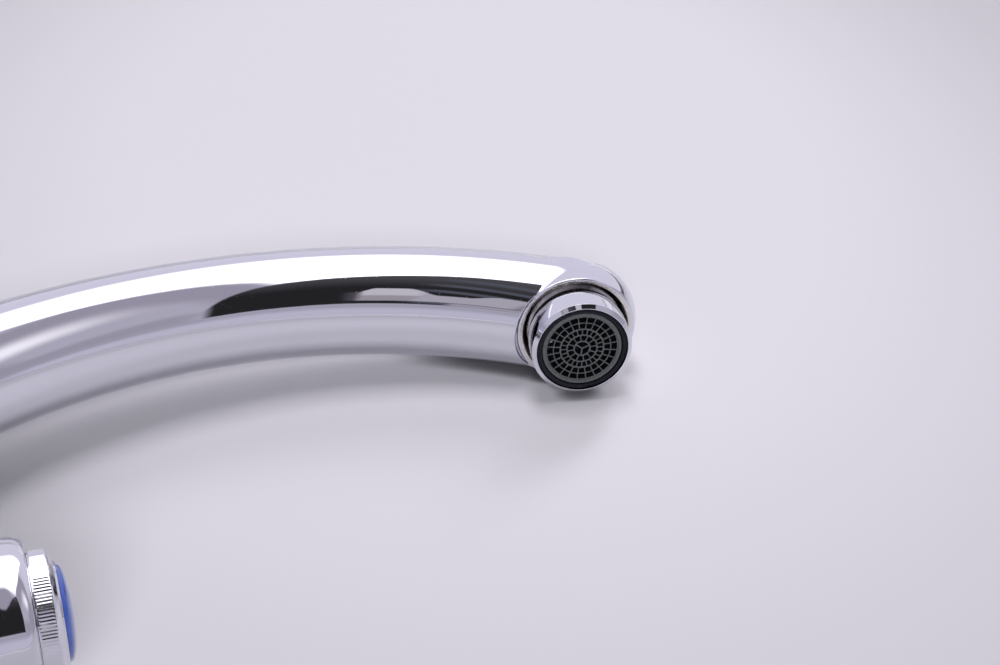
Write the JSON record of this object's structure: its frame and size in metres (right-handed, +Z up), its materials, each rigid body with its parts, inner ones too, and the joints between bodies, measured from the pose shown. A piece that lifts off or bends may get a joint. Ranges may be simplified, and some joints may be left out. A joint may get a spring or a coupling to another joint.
{
  "type": "two-handle deck mixer tap",
  "caption": "Chromed single-hole deck mixer tap with quarter-turn hot and cold knobs, a swivelling swan-neck spout and a screw-in aerator.",
  "frame": {"origin": "centre of the base gasket's underside, where the tap stands on the deck, on the spout's swivel axis", "axes": "+Z up along the swivel axis and the shank, +X towards the cold handle, -Y towards the user; at rest the spout is swung over the cold handle, 3.5 degrees past +X"},
  "size_m": [0.2647, 0.0509, 0.258],
  "materials": {
    "chrome": "bright polished chrome plate on brass",
    "brass": "turned, unplated",
    "steel": "zinc-plated or stainless, machined",
    "rubber": "matt moulded rubber",
    "black_plastic": "satin moulded plastic",
    "grey_plastic": "satin moulded plastic",
    "white_plastic": "satin moulded plastic",
    "ceramic": "lapped alumina ceramic",
    "blue_cap": "gloss moulded plastic",
    "red_cap": "gloss moulded plastic"
  },
  "bodies": {
    "tap_body": {"body": "chrome", "base_flange": "chrome", "base_gasket": "rubber", "threaded_shank": "brass", "clamp_washer_rubber": "rubber", "clamp_washer_steel": "steel", "lock_nut": "brass", "swivel_ring": "white_plastic", "spout_grub_screw": "steel", "cold_seat_seal": "rubber", "cold_fixed_disc": "ceramic", "cold_headwork": "brass", "cold_headwork_gasket": "white_plastic", "cold_shroud": "chrome", "hot_seat_seal": "rubber", "hot_fixed_disc": "ceramic", "hot_headwork": "brass", "hot_headwork_gasket": "white_plastic", "hot_shroud": "chrome"},
    "spout": {"spout": "chrome", "spout_spigot": "brass", "spout_oring_lower": "rubber", "spout_oring_upper": "rubber", "aerator_housing": "chrome", "aerator_insert": "black_plastic", "aerator_grille": "grey_plastic", "aerator_diffuser": "black_plastic", "aerator_strainer": "white_plastic", "aerator_washer": "rubber"},
    "cold_knob": {"cold_handle": "chrome", "cold_spindle": "brass", "cold_spindle_oring": "rubber", "cold_moving_disc": "ceramic", "cold_circlip": "steel", "cold_handle_screw": "steel", "cold_index_cap": "blue_cap"},
    "hot_knob": {"hot_handle": "chrome", "hot_spindle": "brass", "hot_spindle_oring": "rubber", "hot_moving_disc": "ceramic", "hot_circlip": "steel", "hot_handle_screw": "steel", "hot_index_cap": "red_cap"}
  },
  "joints": [
    {"name": "spout_swivel", "type": "hinge", "parent": "tap_body", "child": "spout", "pos_m": [0, 0, 0.0808], "axis": [0, 0, 1], "continuous": true},
    {"name": "cold_turn", "type": "hinge", "parent": "tap_body", "child": "cold_knob", "pos_m": [0.03951, 0, 0.05826], "axis": [0.9877, 0, 0.1564], "range_deg": [0, 90]},
    {"name": "hot_turn", "type": "hinge", "parent": "tap_body", "child": "hot_knob", "pos_m": [-0.03951, 0, 0.05826], "axis": [-0.9877, 0, 0.1564], "range_deg": [-90, 0]}
  ]
}
